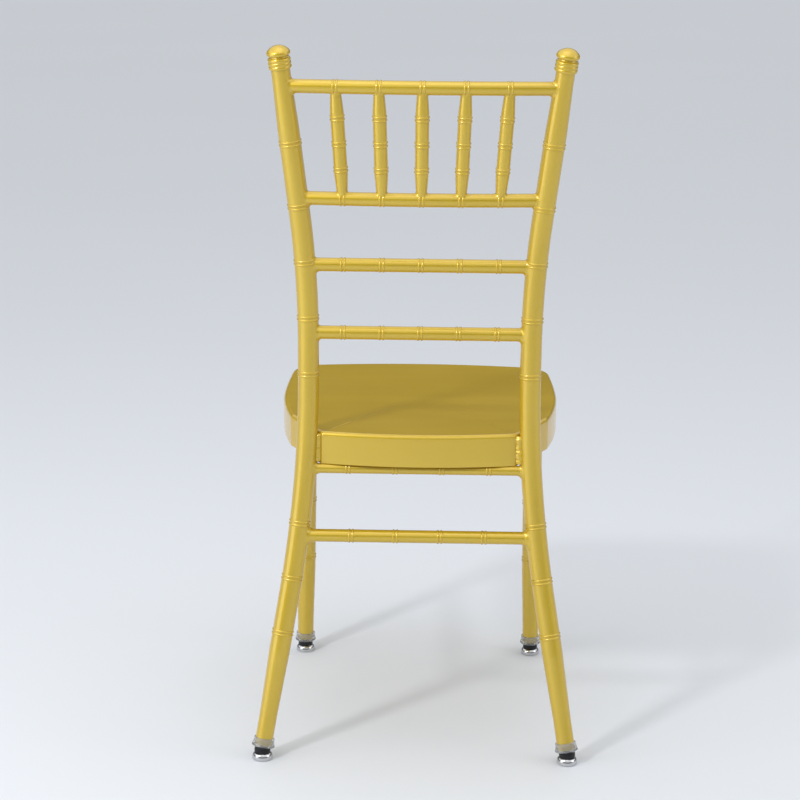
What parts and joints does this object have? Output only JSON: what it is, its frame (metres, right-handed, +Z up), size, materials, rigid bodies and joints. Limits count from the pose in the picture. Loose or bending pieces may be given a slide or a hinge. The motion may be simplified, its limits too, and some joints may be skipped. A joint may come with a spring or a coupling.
{
  "type": "banquet chair",
  "caption": "Bamboo-style banquet chair: ringed steel tube frame with a spindle back, pressed steel seat pan and tilting foot glides.",
  "frame": {"origin": "on the floor, under the middle of the chair's box", "axes": "+Z up; the sitter faces -Y, so the back is on the +Y side; +X is the sitter's left"},
  "size_m": [0.4164, 0.4476, 0.9015],
  "materials": {
    "gold_paint": "satin gold metallic paint",
    "clear_plastic": "clear, slightly clouded moulded plastic",
    "black_plastic": "satin black moulded plastic",
    "stud_steel": "turned steel",
    "bright_plating": "bright nickel plating"
  },
  "bodies": {
    "frame": {"rear_post_left": "gold_paint", "rear_post_right": "gold_paint", "front_leg_left": "gold_paint", "front_leg_right": "gold_paint", "finial_left": "gold_paint", "finial_right": "gold_paint", "crest_rail": "gold_paint", "spindle_rail": "gold_paint", "upper_back_rung": "gold_paint", "lower_back_rung": "gold_paint", "spindle_middle": "gold_paint", "spindle_inner_left": "gold_paint", "spindle_inner_right": "gold_paint", "spindle_outer_left": "gold_paint", "spindle_outer_right": "gold_paint", "seat_pan": "gold_paint", "rear_seat_rail": "gold_paint", "front_seat_rail": "gold_paint", "side_seat_rail_left": "gold_paint", "side_seat_rail_right": "gold_paint", "rear_stretcher": "gold_paint", "front_stretcher": "gold_paint", "side_stretcher_left": "gold_paint", "side_stretcher_right": "gold_paint", "glide_sleeve_rear_left": "clear_plastic", "glide_sleeve_rear_right": "clear_plastic", "glide_sleeve_front_left": "clear_plastic", "glide_sleeve_front_right": "clear_plastic"},
    "collar_rear_left": {"glide_collar_rear_left": "black_plastic"},
    "foot_rear_left": {"glide_base_rear_left": "bright_plating", "glide_stud_rear_left": "stud_steel"},
    "collar_rear_right": {"glide_collar_rear_right": "black_plastic"},
    "foot_rear_right": {"glide_base_rear_right": "bright_plating", "glide_stud_rear_right": "stud_steel"},
    "collar_front_left": {"glide_collar_front_left": "black_plastic"},
    "foot_front_left": {"glide_base_front_left": "bright_plating", "glide_stud_front_left": "stud_steel"},
    "collar_front_right": {"glide_collar_front_right": "black_plastic"},
    "foot_front_right": {"glide_base_front_right": "bright_plating", "glide_stud_front_right": "stud_steel"}
  },
  "joints": [
    {"name": "swivel_rear_left", "type": "hinge", "parent": "frame", "child": "collar_rear_left", "pos_m": [0.19455, 0.21028, 0.012], "axis": [-0.161, -0.1702, 0.9722], "continuous": true},
    {"name": "tilt_rear_left", "type": "hinge", "parent": "collar_rear_left", "child": "foot_rear_left", "pos_m": [0.19455, 0.21028, 0.012], "axis": [-0.7266, 0.6871, 0], "range_deg": [-31.55, 4.45]},
    {"name": "swivel_rear_right", "type": "hinge", "parent": "frame", "child": "collar_rear_right", "pos_m": [-0.19455, 0.21028, 0.012], "axis": [0.161, -0.1702, 0.9722], "continuous": true},
    {"name": "tilt_rear_right", "type": "hinge", "parent": "collar_rear_right", "child": "foot_rear_right", "pos_m": [-0.19455, 0.21028, 0.012], "axis": [-0.7266, -0.6871, 0], "range_deg": [-31.55, 4.45]},
    {"name": "swivel_front_left", "type": "hinge", "parent": "frame", "child": "collar_front_left", "pos_m": [0.1634, -0.17235, 0.012], "axis": [-0.0117, 0, 0.9999], "continuous": true},
    {"name": "tilt_front_left", "type": "hinge", "parent": "collar_front_left", "child": "foot_front_left", "pos_m": [0.1634, -0.17235, 0.012], "axis": [0, 1, 0], "range_deg": [-18.67, 17.33]},
    {"name": "swivel_front_right", "type": "hinge", "parent": "frame", "child": "collar_front_right", "pos_m": [-0.1634, -0.17235, 0.012], "axis": [0.0117, 0, 0.9999], "continuous": true},
    {"name": "tilt_front_right", "type": "hinge", "parent": "collar_front_right", "child": "foot_front_right", "pos_m": [-0.1634, -0.17235, 0.012], "axis": [0, -1, 0], "range_deg": [-18.67, 17.33]}
  ]
}
